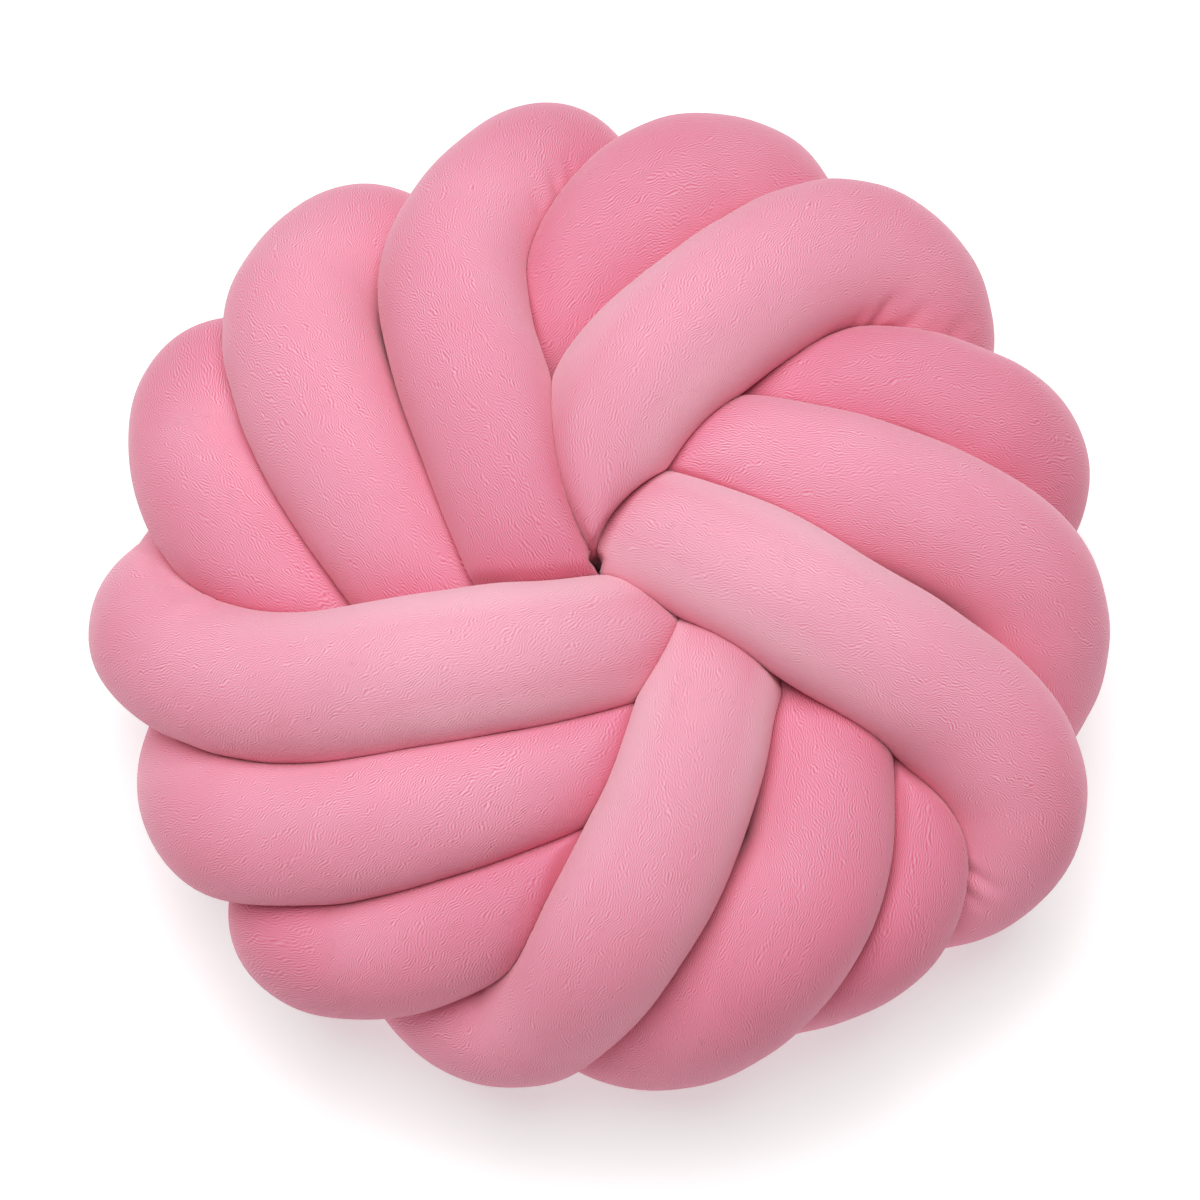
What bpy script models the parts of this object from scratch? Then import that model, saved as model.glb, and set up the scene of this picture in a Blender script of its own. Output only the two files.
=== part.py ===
"""Knot cushion, lying on its back.

One stuffed plush tube is wound into a round, flattened knot. Fourteen passes of the tube
show on the face, in five groups round a small pit. Each pass comes up from under the next
group, runs out over the face, turns clockwise, goes over the rim and runs back in to the
middle of the underside, which is laid like the face, turned over.

The cushion is one filled solid. Metres, +Z up, origin under the middle on the table.
"""

import math
from collections import namedtuple

import bmesh
import bpy
from mathutils import Vector

MM = 0.001

# Driving dimensions, in metres
PRESSED = 0.0015  # how far each pass reaches into its neighbours, in place of flat contacts
RIM_REACH = 0.1520  # from the middle to the tube's own middle line, at the rim
CROWN = 0.058  # from the cushion's mid height to the tube's middle line, over the pit
MID_HEIGHT = 0.084  # the rim's middle line above the table
BACK_FULLNESS = 2.6  # 2 is a round ellipse; more is flatter, as the underside is squashed
BACK_LIFT = 0.6  # how much of the face's over and under is left on the underside

# The photographed view, which the places on the face are given in
VIEW_TILT = math.radians(12.0)  # of the camera from straight above
VIEW_DISTANCE = 1.6

# The underside is the face turned over about a level line at half this angle
TURNOVER = math.radians(126.2)
BLEND_FROM = math.radians(35.0)  # where, from the middle, a back pass starts to meet its rim

# How far a pass stays on under the group that crosses it, and how deep it goes there
TUCKS = ((0.034, -0.038), (0.016, -0.028))

# Shape of the solid
BEVEL_RESOLUTION = 5  # 14 sides to the tube
RINGS_PER_SPAN = 3
CORE_SEGMENTS = 40
CORE_RINGS = 20
CORE_SHRINK = 0.99
CUTTER_SIZE = 0.5
WELD = 0.0001

PLUSH_PINK = (0.80, 0.28, 0.40, 1.0)
PLUSH_ROUGHNESS = 0.9

# Heights of a pass's middle line above or below the plain flattened ball, by its order in
# the group: the first pass rides over the ends of the group before, the third lies deepest.
Lifts = namedtuple("Lifts", "under rise crest shoulder")
LIFTS = {
    1: Lifts(under=-6, rise=8, crest=11, shoulder=4),
    2: Lifts(under=-12, rise=-2, crest=3, shoulder=1),
    3: Lifts(under=-16, rise=-8, crest=-5, shoulder=-5),
}

# The passes. Thick is the tube's own thickness in millimetres. Places are millimetres right
# of and above the outline's middle, as seen in the photographed view: where the pass comes
# out from under the group that crosses it, where it has risen, its crest, and the shoulder
# where it turns down. rim_deg is where it goes over the rim, anticlockwise from +X, rim_out
# how far it stands out there. back names the pass of the face that its way across the
# underside copies.
Pass = namedtuple(
    "Pass",
    "name order thick under_x under_y rise_x rise_y crest_x crest_y shoulder_x shoulder_y"
    " rim_deg rim_out back",
)
PASSES = (
    Pass("A1", 1, 52, -24, 18, -35, 47, -49, 86, -50, 117, 95.0, 1, "D3"),
    Pass("A2", 2, 56, -69, 10, -86, 37, -99, 67, -105, 97, 124.0, -4, "D2"),
    Pass("A3", 3, 55, -116, 3, -128, 17, -135, 28, -142, 47, 152.5, -1, "D1"),
    Pass("B1", 1, 53, 6, -17, -15, -21, -64, -28, -117, -33, 184.0, 5, "C3"),
    Pass("B2", 2, 52, 9, -51, -19, -61, -60, -74, -108, -83, 209.0, 0, "C2"),
    Pass("B3", 3, 52, -4, -92, -25, -103, -51, -115, -83, -123, 229.0, 2, "C1"),
    Pass("C1", 1, 51, 38, -25, 31, -51, 18, -89, -2, -119, 262.0, -10, "B3"),
    Pass("C2", 2, 53, 82, -48, 78, -70, 74, -96, 60, -119, 285.0, -9, "B2"),
    Pass("C3", 3, 50, 111, -72, 109, -85, 104, -100, 97, -112, 305.0, -9, "B1"),
    Pass("D1", 1, 51, 13, 26, 41, 10, 88, -18, 133, -53, 329.0, 6, "A3"),
    Pass("D2", 2, 51, 28, 54, 59, 46, 99, 33, 143, 8, 355.0, -3, "A2"),
    Pass("D3", 3, 54, 67, 74, 87, 73, 109, 71, 131, 60, 18.5, 1, "A1"),
    Pass("E1", 1, 54, -9, 34, 5, 62, 41, 95, 87, 115, 43.5, -4, "E2"),
    Pass("E2", 2, 56, -15, 105, -2, 119, 14, 132, 33, 141, 69.0, -3, "E1"),
)
BY_NAME = {row.name: row for row in PASSES}


def clear_scene():
    for ob in list(bpy.data.objects):
        bpy.data.objects.remove(ob, do_unlink=True)


def new_collection(name):
    collection = bpy.data.collections.new(name)
    bpy.context.scene.collection.children.link(collection)
    return collection


def plush_material():
    material = bpy.data.materials.new("pink_plush")
    material.use_nodes = True
    shader = material.node_tree.nodes["Principled BSDF"]
    shader.inputs["Base Color"].default_value = PLUSH_PINK
    shader.inputs["Roughness"].default_value = PLUSH_ROUGHNESS
    return material


def ball_height(out, back=False):
    """Height over the mid plane of the flattened ball, where out is 0 at the middle and 1
    at the rim."""
    power = BACK_FULLNESS if back else 2.0
    return CROWN * max(0.0, 1.0 - out**power) ** (1.0 / power)


def place_on_face(seen_x, seen_y):
    """Turns a place seen in the photographed view into one on the flattened ball: its
    distance from the middle as an angle, 0 at the middle and a right angle at the rim, and
    its direction from +X."""
    height = CROWN
    x, y, out = seen_x, seen_y, 0.0
    for _ in range(40):
        nearer = height * math.cos(VIEW_TILT) - y * math.sin(VIEW_TILT)
        shrink = (VIEW_DISTANCE - nearer) / VIEW_DISTANCE
        x = seen_x * shrink
        y = (seen_y * shrink - math.sin(VIEW_TILT) * height) / math.cos(VIEW_TILT)
        out = min(math.hypot(x, y) / RIM_REACH, 0.9999)
        height = 0.5 * (height + ball_height(out))
    return math.asin(out), math.atan2(y, x)


def point_over_ball(angle, direction, lift, back=False):
    """Point of a pass's middle line, lift above the flattened ball."""
    out = math.sin(angle)
    radial = out / RIM_REACH
    upright = math.cos(angle) / CROWN
    slope = math.hypot(radial, upright)
    reach = RIM_REACH * out + lift * radial / slope
    height = ball_height(out, back) + lift * upright / slope
    if back:
        height = -height
    return Vector(
        (reach * math.cos(direction), reach * math.sin(direction), MID_HEIGHT + height)
    )


def face_stations(row):
    """Angle, direction and lift of a pass at each of its named places on the face, from
    its tucked end outwards."""
    lifts = LIFTS[row.order]
    places = (
        (row.under_x, row.under_y, lifts.under),
        (row.rise_x, row.rise_y, lifts.rise),
        (row.crest_x, row.crest_y, lifts.crest),
        (row.shoulder_x, row.shoulder_y, lifts.shoulder),
    )
    run_in = Vector((row.under_x - row.rise_x, row.under_y - row.rise_y)).normalized()
    stations = []
    for length, depth in TUCKS:
        seen = Vector((row.under_x, row.under_y)) * MM + run_in * length
        stations.append((*place_on_face(*seen), depth))
    for across, up, lift in places:
        stations.append((*place_on_face(across * MM, up * MM), lift * MM))
    return stations


def pass_points(row):
    """Middle line of one pass: over the face, round the rim and in across the underside."""
    copied = BY_NAME[row.back]
    rim = math.radians(row.rim_deg)
    shift = math.remainder(rim - (TURNOVER - math.radians(copied.rim_deg)), math.tau)
    points = [point_over_ball(*station) for station in face_stations(row)]
    points.append(point_over_ball(math.pi / 2, rim, row.rim_out * MM))
    for angle, direction, lift in reversed(face_stations(copied)):
        part = (angle - BLEND_FROM) / (math.pi / 2 - BLEND_FROM)
        turned = TURNOVER - direction + shift * min(max(part, 0.0), 1.0)
        points.append(point_over_ball(angle, turned, lift * BACK_LIFT, back=True))
    return points


def mesh_object(name, mesh, collection):
    ob = bpy.data.objects.new(name, mesh)
    collection.objects.link(ob)
    return ob


def tube_along(name, points, radius, collection):
    """A round tube with closed ends, as a mesh."""
    curve = bpy.data.curves.new(name + "_curve", "CURVE")
    curve.dimensions = "3D"
    curve.resolution_u = RINGS_PER_SPAN
    curve.bevel_depth = radius
    curve.bevel_resolution = BEVEL_RESOLUTION
    curve.use_fill_caps = True
    spline = curve.splines.new("BEZIER")
    spline.bezier_points.add(len(points) - 1)
    for knot, point in zip(spline.bezier_points, points):
        knot.co = point
        knot.handle_left_type = "AUTO"
        knot.handle_right_type = "AUTO"
    route = mesh_object(name + "_route", curve, collection)
    bpy.context.view_layer.update()
    evaluated = route.evaluated_get(bpy.context.evaluated_depsgraph_get())
    mesh = bpy.data.meshes.new_from_object(evaluated)
    place = route.matrix_world.copy()
    bpy.data.objects.remove(route, do_unlink=True)
    bm = bmesh.new()
    bm.from_mesh(mesh)
    bmesh.ops.remove_doubles(bm, verts=bm.verts, dist=WELD)
    bmesh.ops.recalc_face_normals(bm, faces=bm.faces)
    bm.to_mesh(mesh)
    bm.free()
    tube = mesh_object(name, mesh, collection)
    tube.matrix_world = place
    return tube


def flattened_ball(name, collection):
    """The filled inside, behind the passes."""
    bm = bmesh.new()
    bmesh.ops.create_uvsphere(
        bm, u_segments=CORE_SEGMENTS, v_segments=CORE_RINGS, radius=1.0
    )
    for vert in bm.verts:
        back = vert.co.z < 0.0
        out = min(math.hypot(vert.co.x, vert.co.y), 1.0)
        height = ball_height(out, back) * CORE_SHRINK
        vert.co.x *= RIM_REACH * CORE_SHRINK
        vert.co.y *= RIM_REACH * CORE_SHRINK
        vert.co.z = MID_HEIGHT + (-height if back else height)
    mesh = bpy.data.meshes.new(name)
    bm.to_mesh(mesh)
    bm.free()
    return mesh_object(name, mesh, collection)


def table_cutter(collection):
    """Everything below the table top, which squashes the underside flat where it rests."""
    bm = bmesh.new()
    bmesh.ops.create_cube(bm, size=CUTTER_SIZE)
    bmesh.ops.translate(bm, verts=bm.verts, vec=(0.0, 0.0, -CUTTER_SIZE / 2))
    mesh = bpy.data.meshes.new("below_the_table")
    bm.to_mesh(mesh)
    bm.free()
    return mesh_object("below_the_table", mesh, collection)


def boolean(ob, operation, cutter=None, collection=None):
    modifier = ob.modifiers.new(operation.lower(), "BOOLEAN")
    modifier.operation = operation
    modifier.solver = "EXACT"
    if collection:
        modifier.operand_type = "COLLECTION"
        modifier.collection = collection
    else:
        modifier.object = cutter
    return modifier


def island_of(start):
    """All faces joined to one face."""
    found = {start}
    waiting = [start]
    while waiting:
        face = waiting.pop()
        for edge in face.edges:
            for other in edge.link_faces:
                if other not in found:
                    found.add(other)
                    waiting.append(other)
    return found


def keep_outer_skin(bm):
    """Fills the closed pockets left between crossing passes: only the outer skin stays."""
    left = set(bm.faces)
    islands = []
    while left:
        island = island_of(next(iter(left)))
        islands.append(island)
        left -= island
    islands.sort(key=len, reverse=True)
    inner = [face for island in islands[1:] for face in island]
    bmesh.ops.delete(bm, geom=inner, context="FACES")


def centre_on_origin(bm):
    """Puts the middle of the outline over the origin."""
    xs = [vert.co.x for vert in bm.verts]
    ys = [vert.co.y for vert in bm.verts]
    middle = Vector((min(xs) + max(xs), min(ys) + max(ys), 0.0)) / 2
    bmesh.ops.translate(bm, verts=bm.verts, vec=-middle)


def build():
    clear_scene()
    parts = new_collection("knot_cushion")
    shaping = new_collection("shaping")
    passes = new_collection("passes")
    for row in PASSES:
        radius = row.thick * MM / 2 + PRESSED
        tube = tube_along("pass_" + row.name, pass_points(row), radius, passes)
        tube.hide_render = True
        tube.display_type = "WIRE"
    core = flattened_ball("filled_inside", shaping)
    cutter = table_cutter(shaping)
    boolean(core, "UNION", collection=passes)
    boolean(core, "DIFFERENCE", cutter=cutter)
    for ob in (core, cutter):
        ob.hide_render = True
        ob.display_type = "WIRE"

    bpy.context.view_layer.update()
    evaluated = core.evaluated_get(bpy.context.evaluated_depsgraph_get())
    mesh = bpy.data.meshes.new_from_object(evaluated)
    mesh.name = "knot_cushion"
    bm = bmesh.new()
    bm.from_mesh(mesh)
    keep_outer_skin(bm)
    centre_on_origin(bm)
    bmesh.ops.remove_doubles(bm, verts=bm.verts, dist=WELD)
    bmesh.ops.triangulate(bm, faces=bm.faces)
    bm.to_mesh(mesh)
    bm.free()
    mesh.materials.clear()
    mesh.materials.append(plush_material())
    mesh.shade_smooth()
    mesh_object("knot_cushion", mesh, parts)


build()
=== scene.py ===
"""Knot cushion of pink short-pile plush, lying on its back, with its studio and camera.

One stuffed plush tube shows as fourteen passes. Each pass is a padded piece here: its middle
line follows the same route as the solid's, and its skin is blown up against its neighbours
and the table, so that the passes press each other flat where they touch and leave thin,
deep creases between them.
"""

import math
from collections import namedtuple

import bmesh
import bpy
import numpy as np
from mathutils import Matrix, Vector


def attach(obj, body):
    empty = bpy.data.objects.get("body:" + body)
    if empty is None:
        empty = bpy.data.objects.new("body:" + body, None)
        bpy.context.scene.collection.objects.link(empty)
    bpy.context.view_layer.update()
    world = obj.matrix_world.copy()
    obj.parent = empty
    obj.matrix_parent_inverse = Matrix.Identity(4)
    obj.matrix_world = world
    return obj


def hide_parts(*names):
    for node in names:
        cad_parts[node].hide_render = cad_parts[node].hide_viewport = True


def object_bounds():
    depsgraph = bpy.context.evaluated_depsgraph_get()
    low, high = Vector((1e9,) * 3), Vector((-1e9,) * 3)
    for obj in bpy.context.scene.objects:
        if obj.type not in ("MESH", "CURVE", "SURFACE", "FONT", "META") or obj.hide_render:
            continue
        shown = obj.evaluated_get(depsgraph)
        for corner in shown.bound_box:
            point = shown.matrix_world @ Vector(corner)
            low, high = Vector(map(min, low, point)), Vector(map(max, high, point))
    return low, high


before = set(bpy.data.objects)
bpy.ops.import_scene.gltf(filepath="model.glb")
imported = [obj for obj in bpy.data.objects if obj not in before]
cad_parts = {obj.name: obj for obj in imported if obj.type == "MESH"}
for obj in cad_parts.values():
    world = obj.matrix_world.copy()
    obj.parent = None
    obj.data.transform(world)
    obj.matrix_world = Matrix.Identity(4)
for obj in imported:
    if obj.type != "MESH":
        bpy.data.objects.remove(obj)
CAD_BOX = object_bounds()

MM = 0.001
NODE = "knot_cushion"

# ---------------------------------------------------------------- the knot's own sizes
RIM_REACH = 0.1520  # from the middle to a pass's middle line, at the rim
CROWN = 0.058  # from the cushion's mid height to that line, over the pit
MID_HEIGHT = 0.084  # the rim's middle line above the table
BACK_FULLNESS = 2.6  # 2 is a round ellipse; more is flatter, as the underside is squashed
BACK_LIFT = 0.6  # how much of the face's over and under is left on the underside

# The photographed view, which the places on the face are given in
VIEW_TILT = math.radians(12.0)  # of the camera from straight above
VIEW_DISTANCE = 1.6
TOWARD_CAMERA = np.array([0.0, -math.sin(VIEW_TILT), math.cos(VIEW_TILT)])
PHOTO_PIXELS = 1200  # each way
PIXEL = 0.353 * MM  # what one of them spans at the cushion's mid height
OFF_MIDDLE = 3.5 * PIXEL  # how far right of and above the photo's middle the cushion lies

# The underside is the face turned over about a level line at half this angle
TURNOVER = math.radians(126.2)
BLEND_FROM = math.radians(35.0)  # where, from the middle, a back pass starts to meet its rim

# How far a pass stays on under the group that crosses it, and how deep it goes there
TUCKS = ((0.034, -0.038), (0.016, -0.028))

# How thick a pass is along its way
SLIM_END = 0.86  # the share of its thickness that it has where it comes out near the pit
SLIM_FROM = 0.030  # from the tucked end, and how far it takes to swell to its full thickness
SLIM_OVER = 0.085
BACK_THICK_BY = 0.62  # the share of its length by which it is as thick as its copy
BACK_THICK_OVER = 0.24
RIM_BULGE = 0.07  # the share by which a pass swells as it turns over the rim
RIM_BULGE_OVER = 0.045
BACK_BULGE = 0.10  # the share by which it stays swollen on the underside, and the way there
BACK_BULGE_FROM = 0.030
BACK_BULGE_OVER = 0.040

# The dark pit between A1, B1, D1 and E1, as seen in the photographed view
PIT_SEEN = (-0.0028, 0.0115)
PIT_RADIUS = 0.0028
PIT_DEPTHS = (-0.045, 0.030)  # its two ends, below and above the flattened ball
PIT_STEP = 0.001

# How far a pass's middle line lies above the flattened ball, in millimetres, by its order
# in its group
Lifts = namedtuple("Lifts", "under rise crest shoulder")
LIFTS = {
    1: Lifts(under=-6, rise=8, crest=11, shoulder=4),
    2: Lifts(under=-12, rise=-2, crest=3, shoulder=1),
    3: Lifts(under=-16, rise=-8, crest=-5, shoulder=-5),
}

# Places on the face in millimetres right of and above the outline's middle, as photographed.
# Thick is the tube's own thickness in millimetres; its neighbours squeeze it narrower.
Pass = namedtuple(
    "Pass",
    "name order thick under_x under_y rise_x rise_y crest_x crest_y shoulder_x shoulder_y"
    " rim_deg rim_out back",
)
PASSES = (
    Pass("A1", 1, 52, -24, 18, -35, 47, -49, 86, -50, 117, 95.0, 1, "D3"),
    Pass("A2", 2, 56, -69, 10, -86, 37, -99, 67, -105, 97, 124.0, -4, "D2"),
    Pass("A3", 3, 55, -116, 3, -128, 17, -135, 28, -142, 47, 152.5, -1, "D1"),
    Pass("B1", 1, 53, 6, -17, -15, -21, -64, -28, -117, -33, 184.0, 5, "C3"),
    Pass("B2", 2, 52, 9, -51, -19, -61, -60, -74, -108, -83, 209.0, 0, "C2"),
    Pass("B3", 3, 52, -4, -92, -25, -103, -51, -115, -83, -123, 229.0, 2, "C1"),
    Pass("C1", 1, 51, 38, -25, 31, -51, 18, -89, -2, -119, 262.0, -10, "B3"),
    Pass("C2", 2, 53, 82, -48, 78, -70, 74, -96, 60, -119, 285.0, -9, "B2"),
    Pass("C3", 3, 50, 111, -72, 109, -85, 104, -100, 97, -112, 305.0, -9, "B1"),
    Pass("D1", 1, 51, 13, 26, 41, 10, 88, -18, 133, -53, 329.0, 6, "A3"),
    Pass("D2", 2, 51, 28, 54, 59, 46, 99, 33, 143, 8, 355.0, -3, "A2"),
    Pass("D3", 3, 54, 67, 74, 87, 73, 109, 71, 131, 60, 18.5, 1, "A1"),
    Pass("E1", 1, 54, -9, 34, 5, 62, 41, 95, 87, 115, 43.5, -4, "E2"),
    Pass("E2", 2, 56, -15, 105, -2, 119, 14, 132, 33, 141, 69.0, -3, "E1"),
)
BY_NAME = {row.name: row for row in PASSES}

# Wrinkles on the inside of the bends, in the same seen millimetres. Each is deepest where
# it starts. Depth is into the pass, so that one below nought is a ridge. Spread is how wide
# it is to each side.
Fold = namedtuple("Fold", "name from_x from_y to_x to_y depth spread")
FOLDS = (
    Fold("D1", 124, -94, 142, -106, 1.5, 2.1),
    Fold("D1", 125, -103, 140, -114, 1.7, 2.2),
    Fold("D1", 122, -111, 138, -119, 0.9, 2.4),
    Fold("E1", 91, 90, 104, 108, 1.6, 1.8),
    Fold("E1", 85, 90, 94, 103, 1.1, 1.8),
    Fold("E1", 78, 88, 88, 99, 0.8, 2.0),
    Fold("E1", 105, 93, 116, 105, 0.7, 2.2),
    Fold("E1", 122, 91, 132, 102, 0.7, 2.2),
    Fold("A1", -15, 139, -19, 154, 1.4, 1.7),
    Fold("A1", -11, 146, -13, 159, 0.9, 1.8),
    Fold("A1", -20, 131, -26, 143, 0.8, 2.0),
    Fold("C1", -40, -131, -46, -147, 1.3, 2.2),
    Fold("C1", -31, -122, -38, -138, 0.9, 2.4),
    Fold("B1", -160, 16, -148, -2, 1.2, 3.0),
    Fold("B1", -140, -1, -157, -7, -0.8, 2.0),
)
FOLD_POWER = 1.5  # 2 is a round valley, 1 a sharp one
FOLD_LIP = 0.25  # how high it is raised at its sides, as a share of its depth
FOLD_LIP_AT = 2.0  # spreads away
FOLD_FACING = 0.3  # how far the skin has to face the camera for the full depth

# ---------------------------------------------------------------- how the skin is made
RING_STEP = 0.0016  # along the tube
SIDES = 120  # round the tube
OUTER_CROWDING = 0.35  # how much closer the sides lie on the outward half
NEIGHBOUR_STEP = 2  # every how many rings a neighbour's middle line is tested
NEIGHBOUR_REACH = 0.072
UNLIMITED = 1.0  # further than any skin goes
LEAST_REACH = 0.0002
OWN_SPACING = 0.09  # a pass can touch itself only this far along
SKIN_GAP = -0.00006  # left on each side of a contact; below nought the pile meshes
PILE = 0.0022  # how far the pile of two passes reaches into each other in a crease
PILE_SOFTNESS = 0.00015  # how round the pile's edge along a crease is
TABLE_GAP = 0.0001
INNER_BACKING = 0.92  # the inner turns stop a pass this share of its radius inward
LINE_ROUNDS = 60  # of smoothing, for a pass's middle line
LINE_PULL = 0.5
RELAX_ROUNDS = 160
RELAX_PULL = 0.45
RELAX_LENGTHWISE = 0.5  # how much of that pull acts along the pass
RELAX_FILL = 0.5
LUMP_HEIGHT = 0.00012
LUMP_SIZE = 0.030
SEED = 7

# ---------------------------------------------------------------- how the pile lies, and the shade and light painted on it
# How far it is turned from the tube's own length, by group or pass, in degrees
NAP_TURN = {"A": 20, "B": 32, "C": 16, "D": 14, "E": 22, "E2": -22}
NAP_APART = 0.4  # between one pass's pattern and the next one's
STRETCH_SMOOTHING = 0.020  # how far the stretch of the cloth is evened out
STRETCH_LIMITS = (-0.5, 1.0)  # what counts of it before that
CREASE_SHADE_SHARE = 0.55  # painted shade: how much deeper pink it is painted right beside a crease
CREASE_SHADE_REACH = 0.007

# Painted shade: how much deeper pink a whole pass is painted, as though it got less light,
# besides what opens it
PAINTED_PASS_SHADE = {
    "A1": 0.18, "A3": 0.04, "B3": 0.16, "C2": 0.16, "D3": 0.24, "E1": 0.10, "E2": 0.12,
}

# Painted highlight: how much paler each pass is painted along its flanks, as though lit more
FLANK_HIGHLIGHT_BY_PASS = {"B1": 1.0, "C1": 1.0, "D1": 1.0, "E1": 0.8, "A1": 0.2}
FLANK_HIGHLIGHT_ELSEWHERE = 0.12
CREST_SHARE = 0.35  # how much of that is left along the crest, between the flanks
FLANK_FROM = 0.45  # a flank starts where the skin faces this much sideways
RIM_FADE = 1.8  # the more, the nearer to the rim it starts to fade


def ball_height(out, back=False):
    """Height of the flattened ball over its middle plane, this share of the way out."""
    power = BACK_FULLNESS if back else 2.0
    return CROWN * max(0.0, 1.0 - out**power) ** (1.0 / power)


def place_on_face(seen_x, seen_y):
    """Turns a place seen in the photographed view into an angle from the middle and a
    direction on the flattened ball."""
    height = CROWN
    x, y, out = seen_x, seen_y, 0.0
    for _ in range(40):  # until the place and the height there agree
        nearer = height * math.cos(VIEW_TILT) - y * math.sin(VIEW_TILT)
        shrink = (VIEW_DISTANCE - nearer) / VIEW_DISTANCE
        x = seen_x * shrink
        y = (seen_y * shrink - math.sin(VIEW_TILT) * height) / math.cos(VIEW_TILT)
        out = min(math.hypot(x, y) / RIM_REACH, 0.9999)
        height = 0.5 * (height + ball_height(out))
    return math.asin(out), math.atan2(y, x)


def point_over_ball(angle, direction, lift, back=False):
    """A point this far above the flattened ball's skin, on the face or the underside."""
    out = math.sin(angle)
    radial = out / RIM_REACH
    upright = math.cos(angle) / CROWN
    slope = math.hypot(radial, upright)
    reach = RIM_REACH * out + lift * radial / slope
    height = ball_height(out, back) + lift * upright / slope
    if back:
        height = -height
    return Vector(
        (reach * math.cos(direction), reach * math.sin(direction), MID_HEIGHT + height)
    )


def as_seen(points):
    """Where points show in the photographed view, in metres from its middle."""
    height = points[..., 2] - MID_HEIGHT
    nearer = height * math.cos(VIEW_TILT) - points[..., 1] * math.sin(VIEW_TILT)
    up = points[..., 1] * math.cos(VIEW_TILT) + height * math.sin(VIEW_TILT)
    grow = VIEW_DISTANCE / (VIEW_DISTANCE - nearer)
    return np.stack([points[..., 0] * grow, up * grow], axis=-1)


def face_stations(row):
    """Angle, direction and lift of each place on a pass's way, from its tucked end out."""
    lifts = LIFTS[row.order]
    places = (
        (row.under_x, row.under_y, lifts.under),
        (row.rise_x, row.rise_y, lifts.rise),
        (row.crest_x, row.crest_y, lifts.crest),
        (row.shoulder_x, row.shoulder_y, lifts.shoulder),
    )
    run_in = Vector((row.under_x - row.rise_x, row.under_y - row.rise_y)).normalized()
    stations = []
    for length, depth in TUCKS:
        seen = Vector((row.under_x, row.under_y)) * MM + run_in * length
        stations.append((*place_on_face(*seen), depth))
    for across, up, lift in places:
        stations.append((*place_on_face(across * MM, up * MM), lift * MM))
    return stations


def pass_points(row):
    """Middle line of one pass: over the face, round the rim and in across the underside."""
    copied = BY_NAME[row.back]
    rim = math.radians(row.rim_deg)
    shift = math.remainder(rim - (TURNOVER - math.radians(copied.rim_deg)), math.tau)
    points = [point_over_ball(*station) for station in face_stations(row)]
    points.append(point_over_ball(math.pi / 2, rim, row.rim_out * MM))
    for angle, direction, lift in reversed(face_stations(copied)):
        part = (angle - BLEND_FROM) / (math.pi / 2 - BLEND_FROM)
        turned = TURNOVER - direction + shift * min(max(part, 0.0), 1.0)
        points.append(point_over_ball(angle, turned, lift * BACK_LIFT, back=True))
    return points


def smooth_line(points, step):
    """Evenly spaced points along a smooth curve through the given ones."""
    curve = bpy.data.curves.new("route", "CURVE")
    curve.dimensions = "3D"
    curve.resolution_u = 24
    spline = curve.splines.new("BEZIER")
    spline.bezier_points.add(len(points) - 1)
    for knot, point in zip(spline.bezier_points, points):
        knot.co = point
        knot.handle_left_type = "AUTO"
        knot.handle_right_type = "AUTO"
    route = bpy.data.objects.new("route", curve)
    bpy.context.scene.collection.objects.link(route)
    bpy.context.view_layer.update()
    mesh = route.to_mesh()
    line = np.empty(len(mesh.vertices) * 3)
    mesh.vertices.foreach_get("co", line)
    line = line.reshape(-1, 3)
    route.to_mesh_clear()
    bpy.data.objects.remove(route, do_unlink=True)
    bpy.data.curves.remove(curve)
    for _ in range(LINE_ROUNDS):
        line[1:-1] += LINE_PULL * (0.5 * (line[:-2] + line[2:]) - line[1:-1])
    steps = np.linalg.norm(np.diff(line, axis=0), axis=1)
    walked = np.concatenate([[0.0], np.cumsum(steps)])
    count = int(round(walked[-1] / step)) + 1
    at = np.linspace(0.0, walked[-1], count)
    return np.stack([np.interp(at, walked, line[:, k]) for k in range(3)], axis=1), at


def unit(vectors):
    """The same directions, one long."""
    return vectors / np.linalg.norm(vectors, axis=-1, keepdims=True)


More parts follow.
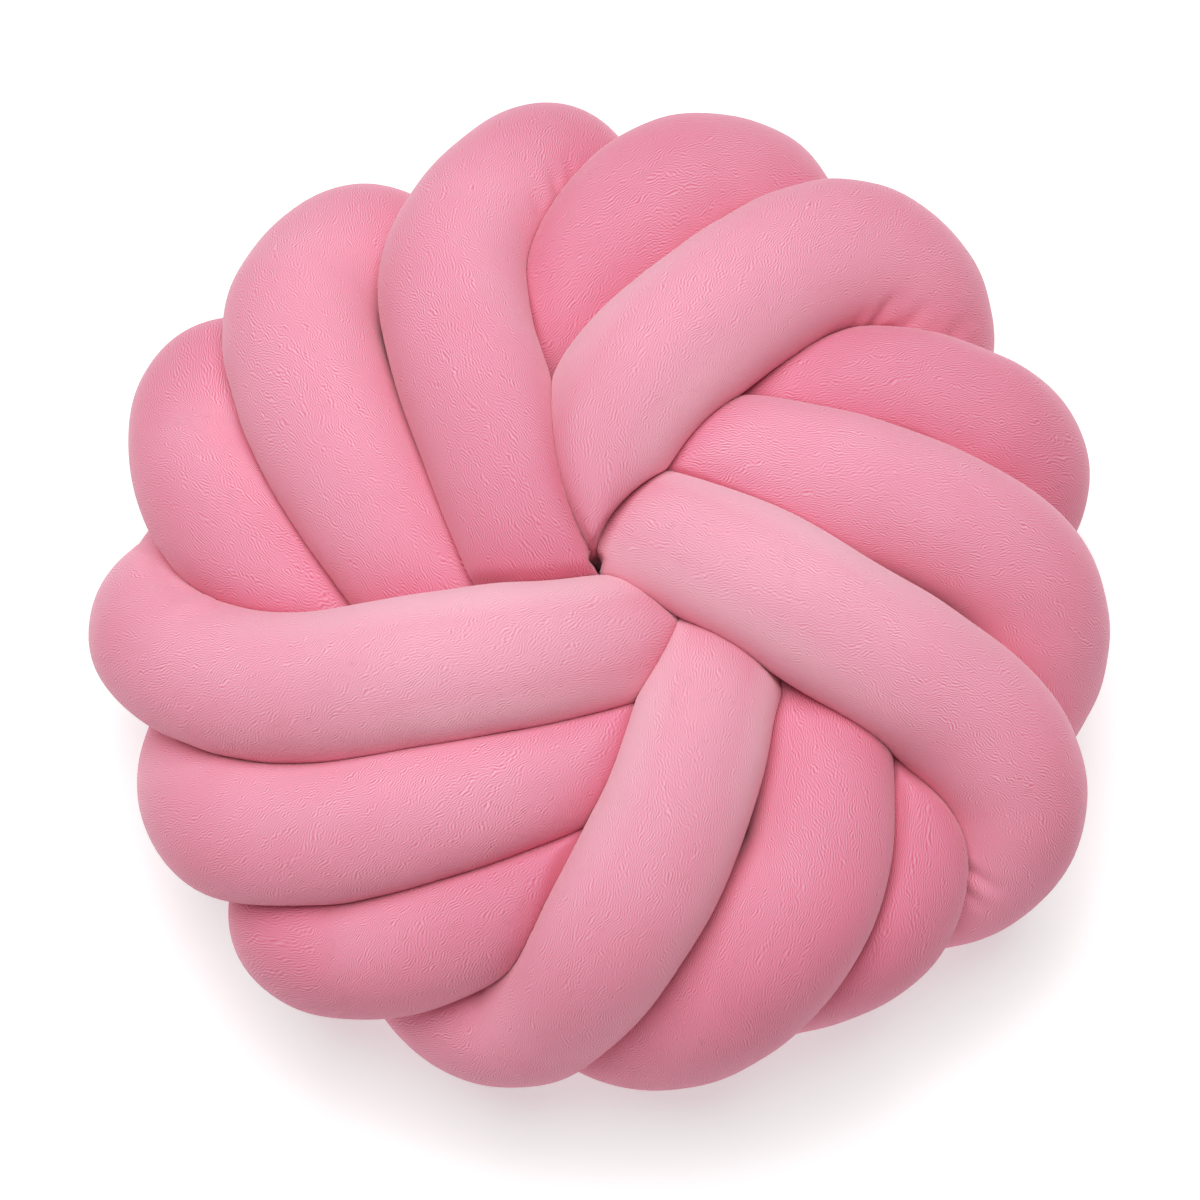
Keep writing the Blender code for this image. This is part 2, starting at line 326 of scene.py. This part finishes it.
class Tube:
    """One pass: its rings' middles, their frames, and the reach of the skin all round."""

    def __init__(self, row):
        self.name = row.name
        self.line, self.walked = smooth_line(pass_points(row), RING_STEP)
        self.along = unit(np.gradient(self.line, axis=0))
        from_middle = (self.line - (0.0, 0.0, MID_HEIGHT)) / (
            RIM_REACH**2, RIM_REACH**2, CROWN**2,
        )
        outward = from_middle - (from_middle * self.along).sum(1, keepdims=True) * self.along
        self.outward = unit(outward)
        self.sideways = np.cross(self.along, self.outward)
        turn = np.linspace(-math.pi, math.pi, SIDES, endpoint=False)
        self.turn = turn - OUTER_CROWDING * np.sin(turn)
        self.rays = (
            self.outward[:, None] * np.cos(self.turn)[None, :, None]
            + self.sideways[:, None] * np.sin(self.turn)[None, :, None]
        )
        to_end = np.minimum(self.walked, self.walked[-1] - self.walked)
        full = self.full_radius(row)
        rounding = np.clip(to_end / full, 0.0, 1.0)
        self.radius = full * np.sqrt(1.0 - (1.0 - rounding) ** 2)
        self.radius = np.maximum(self.radius, LEAST_REACH)

    def full_radius(self, row):
        """The pass's own thickness on the face, and its copy's on the underside."""
        across = self.walked / self.walked[-1]
        face_share = np.clip((BACK_THICK_BY - across) / BACK_THICK_OVER, 0.0, 1.0)
        copied = BY_NAME[row.back]
        thick = row.thick * face_share + copied.thick * (1.0 - face_share)
        to_end = np.minimum(self.walked, self.walked[-1] - self.walked)
        swell = np.clip((to_end - SLIM_FROM) / SLIM_OVER, 0.0, 1.0)
        swell = swell * swell * (3.0 - 2.0 * swell)  # smoothly
        at_rim = self.walked[np.argmax(np.hypot(self.line[:, 0], self.line[:, 1]))]
        bulge = RIM_BULGE * np.exp(-(((self.walked - at_rim) / RIM_BULGE_OVER) ** 2))
        behind = self.walked - at_rim - BACK_BULGE_FROM
        behind = np.clip(behind / BACK_BULGE_OVER, 0.0, 1.0)
        bulge = np.maximum(bulge, BACK_BULGE * behind * swell)
        return 0.5 * MM * thick * (SLIM_END + (1.0 - SLIM_END) * swell) * (1.0 + bulge)

    def limit_reach(self, tubes):
        """How far each ray may go before it meets a neighbour half way, the inner turns
        or the table."""
        limit = np.full(self.rays.shape[:2], UNLIMITED)
        for other in tubes:
            line = other.line[::NEIGHBOUR_STEP]
            radius = other.radius[::NEIGHBOUR_STEP]
            walked = other.walked[::NEIGHBOUR_STEP]
            span = ((self.line[:, None] - line[None]) ** 2).sum(2)
            for ring in np.nonzero(span.min(1) < NEIGHBOUR_REACH**2)[0]:
                near = span[ring] < NEIGHBOUR_REACH**2
                if other is self:
                    near &= np.abs(walked - self.walked[ring]) > OWN_SPACING
                if not near.any():
                    continue
                offset = line[near] - self.line[ring]
                wider = radius[near] - self.radius[ring]
                facing = self.rays[ring] @ offset.T + wider
                gap = (offset**2).sum(1) - wider**2
                half_way = gap / (2 * np.maximum(facing, 1e-7))
                half_way = np.where(facing > 1e-7, half_way, UNLIMITED)
                limit[ring] = np.minimum(limit[ring], half_way.min(1))
        limit = np.minimum(limit - SKIN_GAP, self.clear_of_pit())
        inward = -(self.rays * self.outward[:, None]).sum(2)
        backing = INNER_BACKING * self.radius[:, None] / np.maximum(inward, 1e-6)
        limit = np.where(inward > 0, np.minimum(limit, backing), limit)
        down = -self.rays[:, :, 2]
        table = (self.line[:, 2:3] - TABLE_GAP) / np.maximum(down, 1e-6)
        limit = np.where(down > 0, np.minimum(limit, table), limit)
        self.limit = np.maximum(limit, LEAST_REACH)

    def clear_of_pit(self):
        """How far each ray may go before it meets the open pit."""
        free = np.full(self.rays.shape[:2], UNLIMITED)
        seat = place_on_face(*PIT_SEEN)
        for depth in np.arange(*PIT_DEPTHS, PIT_STEP):
            offset = np.array(point_over_ball(*seat, depth)) - self.line
            ahead = (self.rays * offset[:, None]).sum(2)
            inside = PIT_RADIUS**2 - (offset**2).sum(1)[:, None] + ahead**2
            meets = (inside > 0) & (ahead > 0)
            entry = ahead - np.sqrt(np.maximum(inside, 0))
            free = np.where(meets, np.minimum(free, entry), free)
        return free

    def fill_out(self, rng):
        """Blows the skin up to its full girth with even tension, inside its limits. The
        pile of two passes that touch meets a little outside their cloth."""
        cloth_limit = self.limit + PILE
        reach = np.minimum(self.radius[:, None], cloth_limit)
        girth = math.tau * self.radius
        for _ in range(RELAX_ROUNDS):
            skin = self.line[:, None] + self.rays * reach[:, :, None]
            middle = 0.5 * (np.roll(skin, 1, 1) + np.roll(skin, -1, 1))
            pull = ((middle - skin) * self.rays).sum(2)
            middle = 0.5 * (skin[2:] + skin[:-2])
            lengthwise = np.zeros_like(reach)
            lengthwise[1:-1] = ((middle - skin[1:-1]) * self.rays[1:-1]).sum(2)
            now = np.linalg.norm(np.roll(skin, -1, 1) - skin, axis=2).sum(1)
            blow = (girth - now) / math.tau
            reach += RELAX_PULL * (pull + RELAX_LENGTHWISE * lengthwise)
            reach += RELAX_FILL * blow[:, None]
            reach = np.clip(reach, LEAST_REACH, cloth_limit)
        reach += self.unevenness(reach, rng)
        spare = self.limit - reach
        rounded = PILE_SOFTNESS * np.logaddexp(0.0, -spare / PILE_SOFTNESS)
        self.reach = np.clip(reach - rounded, LEAST_REACH, self.limit)

    def unevenness(self, reach, rng):
        """Soft lumps of filling, and the wrinkles on the inside of the bends."""
        skin = self.line[:, None] + self.rays * reach[:, :, None]
        change = LUMP_HEIGHT * waves(skin, LUMP_SIZE, rng)
        seen = as_seen(skin) / MM
        facing = np.clip(self.rays @ TOWARD_CAMERA, 0.0, FOLD_FACING) / FOLD_FACING
        for fold in FOLDS:
            if fold.name != self.name:
                continue
            start = np.array([fold.from_x, fold.from_y])
            run = np.array([fold.to_x, fold.to_y]) - start
            part = np.clip((seen - start) @ run / (run @ run), 0.0, 1.0)
            away = np.linalg.norm(seen - start - part[..., None] * run, axis=2) / fold.spread
            fade = 1.0 - part**2
            valley = np.exp(-(away**FOLD_POWER))
            lip = FOLD_LIP * np.exp(-((away - FOLD_LIP_AT) ** 2))
            change -= fold.depth * MM * (valley - lip) * fade * facing
        return change

    def skin(self):
        """The skin's points, ring by ring."""
        return self.line[:, None] + self.rays * self.reach[:, :, None]

    def nap_places(self):
        """Places on the cloth laid flat, in metres, turned so that the pile runs along the
        first of them. The cloth's join is on the inward side, out of sight."""
        skin = self.skin()
        round_ring = np.linalg.norm(np.roll(skin, -1, 1) - skin, axis=2)
        across = np.concatenate([np.zeros((len(skin), 1)), np.cumsum(round_ring, axis=1)], 1)
        across -= across[:, SIDES // 2, None]
        along = self.walked[:, None] + PASSES.index(BY_NAME[self.name]) * NAP_APART
        turn = -math.radians(NAP_TURN.get(self.name, NAP_TURN[self.name[0]]))
        return np.stack(
            [
                along * math.cos(turn) + across * math.sin(turn),
                across * math.cos(turn) - along * math.sin(turn),
            ],
            axis=2,
        )

    def stretch(self):
        """How much longer the skin is than the line inside it, as on the outside of a bend."""
        skin = self.skin()
        longer = np.linalg.norm(np.gradient(skin, axis=0), axis=2) / RING_STEP - 1.0
        longer = np.clip(longer, *STRETCH_LIMITS)
        apart = np.abs(self.walked[:, None] - self.walked[None])
        share = np.exp(-0.5 * (apart / STRETCH_SMOOTHING) ** 2)
        evened = (share / share.sum(1, keepdims=True)) @ longer
        return np.clip(evened, 0.0, 1.0)

    def crease_shade(self):
        """Painted shade beside a crease: how near the next pass is, where this one runs down
        under it.
        """
        spare = np.maximum(self.limit - self.reach, 0.0)
        faces_out = np.clip(np.cos(self.turn), 0.0, 1.0)
        return np.exp(-spare / CREASE_SHADE_REACH) * faces_out**2

    def raised(self):
        """Painted highlight: how much paler the skin is painted, as though lit more, mostly
        along the flanks of the passes on top, and less towards the rim."""
        flank = (np.abs(np.sin(self.turn)) - FLANK_FROM) / (1.0 - FLANK_FROM)
        flank = np.clip(flank, 0.0, 1.0)
        out = np.hypot(self.line[:, 0], self.line[:, 1]) / RIM_REACH
        fade = np.clip(RIM_FADE * (1.0 - out), 0.0, 1.0)
        # how much painted highlight this pass gets
        upright = FLANK_HIGHLIGHT_BY_PASS.get(self.name, FLANK_HIGHLIGHT_ELSEWHERE)
        return upright * fade[:, None] * (CREST_SHARE + (1.0 - CREST_SHARE) * flank)


def waves(places, scale, rng, count=14):
    """Smooth, even unevenness: a sum of waves about scale long in random directions."""
    total = np.zeros(places.shape[:-1])
    for _ in range(count):
        way = unit(rng.normal(size=3)) * math.tau / (scale * rng.uniform(0.7, 1.6))
        total += np.sin(places @ way + rng.uniform(0.0, math.tau))
    return total / math.sqrt(count / 2)


def tube_mesh(tube, skin):
    """The skin as one closed mesh, from a flat grid rolled into a tube."""
    nap = tube.nap_places()
    rings = len(tube.line)
    bm = bmesh.new()
    bmesh.ops.create_grid(bm, x_segments=rings - 1, y_segments=SIDES, size=0.5)
    mesh = bpy.data.meshes.new("pass_" + tube.name)
    bm.to_mesh(mesh)
    bm.free()
    flat = np.empty(len(mesh.vertices) * 3)
    mesh.vertices.foreach_get("co", flat)
    flat = flat.reshape(-1, 3) + 0.5
    ring = np.rint(flat[:, 0] * (rings - 1)).astype(int)
    side = np.rint(flat[:, 1] * SIDES).astype(int)
    mesh.vertices.foreach_set("co", skin[ring, side % SIDES].ravel())
    corner = np.empty(len(mesh.loops), dtype=int)
    mesh.loops.foreach_get("vertex_index", corner)
    laid_flat = mesh.uv_layers.new(name="nap")
    laid_flat.data.foreach_set("uv", nap[ring[corner], side[corner]].ravel())
    # Deeper pink where the cloth stretches, plus painted shade beside creases and on some
    # whole passes; and painted highlight along the flanks
    stretch_and_shade = tube.stretch() + CREASE_SHADE_SHARE * tube.crease_shade() + PAINTED_PASS_SHADE.get(tube.name, 0.0)
    for name, amount in (("pile_opened", stretch_and_shade), ("pile_raised", tube.raised())):
        attribute = mesh.attributes.new(name, "FLOAT", "POINT")
        attribute.data.foreach_set("value", amount[ring, side % SIDES].ravel())
    bm = bmesh.new()
    bm.from_mesh(mesh)
    bmesh.ops.remove_doubles(bm, verts=bm.verts, dist=1e-6)
    open_edges = [edge for edge in bm.edges if edge.is_boundary]
    bmesh.ops.holes_fill(bm, edges=open_edges)
    bmesh.ops.recalc_face_normals(bm, faces=bm.faces)
    bm.to_mesh(mesh)
    bm.free()
    mesh.shade_smooth()
    return mesh


# ---------------------------------------------------------------- materials
def linear(hex_colour):
    """sRGB hex to linear RGBA."""
    channels = [int(hex_colour[k : k + 2], 16) / 255 for k in (1, 3, 5)]
    return tuple(
        c / 12.92 if c <= 0.04045 else ((c + 0.055) / 1.055) ** 2.4 for c in channels
    ) + (1.0,)


def add_node(tree, kind, settings=None, inputs=None, links=None):
    """One node with its settings, unlinked input values and incoming links."""
    node = tree.nodes.new(kind)
    for key, value in (settings or {}).items():
        setattr(node, key, value)
    for key, value in (inputs or {}).items():
        node.inputs[key].default_value = value
    for key, source in (links or {}).items():
        tree.links.new(source, node.inputs[key])
    return node


def new_material(name):
    material = bpy.data.materials.new(name)
    material.use_nodes = True
    return material, material.node_tree, material.node_tree.nodes["Principled BSDF"]


def bend_place(tree, place, noise_colour, reach):
    """Moves a place by a noise's colour, up to half the reach each way."""
    centred = add_node(
        tree, "ShaderNodeVectorMath", {"operation": "SUBTRACT"},
        {1: (0.5, 0.5, 0.5)}, {0: noise_colour},
    ).outputs["Vector"]
    return add_node(
        tree, "ShaderNodeVectorMath", {"operation": "MULTIPLY_ADD"},
        {1: (reach, reach, reach)}, {0: centred, 2: place},
    ).outputs["Vector"]


def mix_colour(tree, share, first, second, blend="MIX"):
    """First colour link, with a share of the second colour mixed in or laid over."""
    return add_node(
        tree, "ShaderNodeMix", {"data_type": "RGBA", "blend_type": blend},
        {7: second}, {0: share, 6: first},
    ).outputs[2]


ROOT_PINK = "#D86E85"
PILE_PINK = "#E98FA6"
TIP_PINK = "#F1A9BA"
PATCH_PINK = "#E6839A"
# Painted highlight: the paler pink laid along the lit flanks
PAINTED_HIGHLIGHT_PINK = "#F9C9D4"
SHEEN_PINK = "#FFDDE6"
STRETCH_AND_SHADE_TINT = "#E6C6D0"  # laid over the pile's own pink, where the cloth stretches and as painted shade
PATCH_MOST = 0.4  # the largest share of each that is mixed in
STRETCH_AND_SHADE_MOST = 0.72
PAINTED_HIGHLIGHT_MOST = 0.48
LOCK_SIZE = 0.0022  # of a patch of locks, and how many lie side by side in it
LOCKS_EACH = 2.5
LOCK_STRAIGHTNESS = 0.68
LOCK_RELIEF = 0.00021
RIPPLE_SIZE = 0.0050  # of the waves in them, and how far those move them in all
RIPPLE_REACH = 0.0030
SWIRL_SIZE = 0.018
SWIRL_TURN = 70  # at most, in degrees to each side
PATCH_SIZE = 0.026


def plush():
    """Brushed short-pile polyester plush. The pile lies over in soft wavy locks a few
    millimetres long and 0.9 mm apart, whose lines swirl slowly. The roots show between
    them as a deeper pink, as they do where a bend stretches the cloth, and brushed patches
    are deeper too. Painted shade makes it deeper pink beside the creases and on some whole
    passes, and a painted highlight makes it paler along the lit flanks of the passes on top."""
    material, tree, shader = new_material("pink_short_pile_plush")
    place = add_node(tree, "ShaderNodeUVMap", {"uv_map": "nap"}).outputs["UV"]
    ripple = add_node(
        tree, "ShaderNodeTexNoise",
        inputs={"Scale": 1 / RIPPLE_SIZE, "Detail": 1.0}, links={"Vector": place},
    ).outputs["Color"]
    wavy = bend_place(tree, place, ripple, RIPPLE_REACH)
    swirl = add_node(
        tree, "ShaderNodeTexNoise",
        inputs={"Scale": 1 / SWIRL_SIZE, "Detail": 1.0}, links={"Vector": place},
    ).outputs["Fac"]
    lean = add_node(
        tree, "ShaderNodeMapRange",
        inputs={
            "To Min": math.radians(90 - SWIRL_TURN), "To Max": math.radians(90 + SWIRL_TURN),
        },
        links={"Value": swirl},
    ).outputs["Result"]
    locks = add_node(
        tree, "ShaderNodeTexGabor", {"gabor_type": "2D"},
        {
            "Scale": 1 / LOCK_SIZE, "Frequency": LOCKS_EACH,
            "Anisotropy": LOCK_STRAIGHTNESS,
        },
        {"Vector": wavy, 4: lean},
    ).outputs["Value"]
    patches = add_node(
        tree, "ShaderNodeTexNoise",
        inputs={"Scale": 1 / PATCH_SIZE, "Detail": 2.0}, links={"Vector": place},
    ).outputs["Fac"]
    pile_colour = add_node(tree, "ShaderNodeValToRGB", links={"Fac": locks})
    ramp = pile_colour.color_ramp
    ramp.elements[0].position = 0.33
    ramp.elements[0].color = linear(ROOT_PINK)
    ramp.elements[1].position = 0.68
    ramp.elements[1].color = linear(TIP_PINK)
    ramp.elements.new(0.52).color = linear(PILE_PINK)
    patch_share = add_node(
        tree, "ShaderNodeMapRange",
        inputs={"From Min": 0.38, "From Max": 0.68, "To Max": PATCH_MOST},
        links={"Value": patches},
    ).outputs["Result"]
    brushed = mix_colour(tree, patch_share, pile_colour.outputs["Color"], linear(PATCH_PINK))
    # Deeper pink where the cloth stretches, and painted shade beside creases and on some whole
    # passes
    pile_opened = add_node(tree, "ShaderNodeAttribute", {"attribute_name": "pile_opened"})
    stretch_and_shade = add_node(
        tree, "ShaderNodeMapRange", {"interpolation_type": "SMOOTHSTEP"},
        {"From Min": 0.10, "From Max": 0.80, "To Max": STRETCH_AND_SHADE_MOST},
        {"Value": pile_opened.outputs["Fac"]},
    ).outputs["Result"]
    stretched_and_shaded_pile = mix_colour(tree, stretch_and_shade, brushed, linear(STRETCH_AND_SHADE_TINT), "MULTIPLY")
    # Painted highlight: paler pink along the lit flanks of the passes on top
    pile_raised = add_node(tree, "ShaderNodeAttribute", {"attribute_name": "pile_raised"})
    raised = add_node(
        tree, "ShaderNodeMapRange", {"interpolation_type": "SMOOTHSTEP"},
        {"To Max": PAINTED_HIGHLIGHT_MOST}, {"Value": pile_raised.outputs["Fac"]},
    ).outputs["Result"]
    colour = mix_colour(tree, raised, stretched_and_shaded_pile, linear(PAINTED_HIGHLIGHT_PINK))
    bump = add_node(
        tree, "ShaderNodeBump", inputs={"Strength": 1.0, "Distance": LOCK_RELIEF},
        links={"Height": locks},
    ).outputs["Normal"]
    tree.links.new(colour, shader.inputs["Base Color"])
    tree.links.new(bump, shader.inputs["Normal"])
    shader.inputs["Roughness"].default_value = 0.9
    shader.inputs["Specular IOR Level"].default_value = 0.1
    shader.inputs["Sheen Weight"].default_value = 0.35
    shader.inputs["Sheen Roughness"].default_value = 0.45
    shader.inputs["Sheen Tint"].default_value = linear(SHEEN_PINK)
    return material


FLOOR_WHITE = "#EEF5F4"
FLOOR_GLOW = 0.51


def floor_acrylic():
    """Matt white acrylic, lit a little from below as on a product table. Its white is
    slightly cool, against the pink light that the cushion throws on it."""
    material, _, shader = new_material("lit_white_acrylic")
    shader.inputs["Base Color"].default_value = linear(FLOOR_WHITE)
    shader.inputs["Roughness"].default_value = 0.9
    shader.inputs["Emission Color"].default_value = (1.0, 1.0, 1.0, 1.0)
    shader.inputs["Emission Strength"].default_value = FLOOR_GLOW
    return material


# ---------------------------------------------------------------- the cushion
rng = np.random.default_rng(SEED)
tubes = [Tube(row) for row in PASSES]
for tube in tubes:
    tube.limit_reach(tubes)
    tube.fill_out(rng)

skins = [tube.skin() for tube in tubes]
low = np.min([skin.min((0, 1)) for skin in skins], axis=0)
high = np.max([skin.max((0, 1)) for skin in skins], axis=0)
cad_low, cad_high = (np.array(corner) for corner in CAD_BOX)
shift = (cad_low + cad_high - low - high) / 2
shift[2] = 0.0

plush_material = plush()
for tube, skin in zip(tubes, skins):
    mesh = tube_mesh(tube, skin + shift)
    mesh.materials.append(plush_material)
    piece = bpy.data.objects.new("pass_" + tube.name, mesh)
    bpy.context.scene.collection.objects.link(piece)
    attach(piece, "root")
    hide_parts(NODE)

# ---------------------------------------------------------------- the studio
FLOOR_REACH = 3.0  # from its middle to each side

bm = bmesh.new()
bmesh.ops.create_grid(bm, x_segments=1, y_segments=1, size=FLOOR_REACH)
floor_mesh = bpy.data.meshes.new("studio_floor")
bm.to_mesh(floor_mesh)
bm.free()
floor_mesh.materials.append(floor_acrylic())
floor = bpy.data.objects.new("studio_floor", floor_mesh)
bpy.context.scene.collection.objects.link(floor)

# White walls round a dark ceiling: most of the light comes from the softbox overhead
WALL_LIGHT = 0.50
CEILING_LIGHT = 0.12
WALL_TOP = 0.10  # how far up the walls go and the ceiling starts, where 1 is overhead
CEILING_FROM = 0.26
world = bpy.data.worlds.new("studio")
world.use_nodes = True
sky = world.node_tree
direction = add_node(sky, "ShaderNodeTexCoord").outputs["Generated"]
upward_part = add_node(sky, "ShaderNodeSeparateXYZ", links={"Vector": direction}).outputs["Z"]
brightness = add_node(
    sky, "ShaderNodeMapRange",
    inputs={
        "From Min": WALL_TOP, "From Max": CEILING_FROM,
        "To Min": WALL_LIGHT, "To Max": CEILING_LIGHT,
    },
    links={"Value": upward_part},
).outputs["Result"]
sky.nodes["Background"].inputs["Color"].default_value = (1.0, 1.0, 1.0, 1.0)
sky.links.new(brightness, sky.nodes["Background"].inputs["Strength"])
bpy.context.scene.world = world


def soft_light(name, place, aim, size, power):
    """A round area light, its width in metres and its power in watts."""
    lamp = bpy.data.lights.new(name, "AREA")
    lamp.shape = "DISK"
    lamp.size = size
    lamp.energy = power
    ob = bpy.data.objects.new(name, lamp)
    ob.location = place
    ob.rotation_euler = (Vector(aim) - Vector(place)).to_track_quat("-Z", "Y").to_euler()
    bpy.context.scene.collection.objects.link(ob)


soft_light(
    "softbox", place=(-0.14, 0.48, 2.20), aim=(0.0, 0.0, 0.05), size=1.7, power=72.0,
)

camera_data = bpy.data.cameras.new("camera")
camera_data.sensor_width = 36.0
camera_data.lens = camera_data.sensor_width * VIEW_DISTANCE / (PHOTO_PIXELS * PIXEL)
camera = bpy.data.objects.new("camera", camera_data)
bpy.context.scene.collection.objects.link(camera)
upward = Vector((0.0, math.cos(VIEW_TILT), math.sin(VIEW_TILT)))
aim = Vector((shift[0] - OFF_MIDDLE, shift[1], MID_HEIGHT)) - upward * OFF_MIDDLE
camera.location = aim + Vector(TOWARD_CAMERA) * VIEW_DISTANCE
camera.rotation_euler = (VIEW_TILT, 0.0, 0.0)
bpy.context.scene.camera = camera

# The brightest light is held back, as film does. Light in, and what is shown of it.
TONES = ((0.0, 0.0), (0.20, 0.195), (0.54, 0.500), (0.80, 0.700), (1.12, 0.870), (1.30, 1.0))
view = bpy.context.scene.view_settings
view.view_transform = "Standard"
view.use_curve_mapping = True
brightest = TONES[-1][0]
view.curve_mapping.white_level = (brightest, brightest, brightest)
tone_curve = view.curve_mapping.curves[3]
for light, shown in TONES[1:-1]:
    tone_curve.points.new(light / brightest, shown)
view.curve_mapping.update()
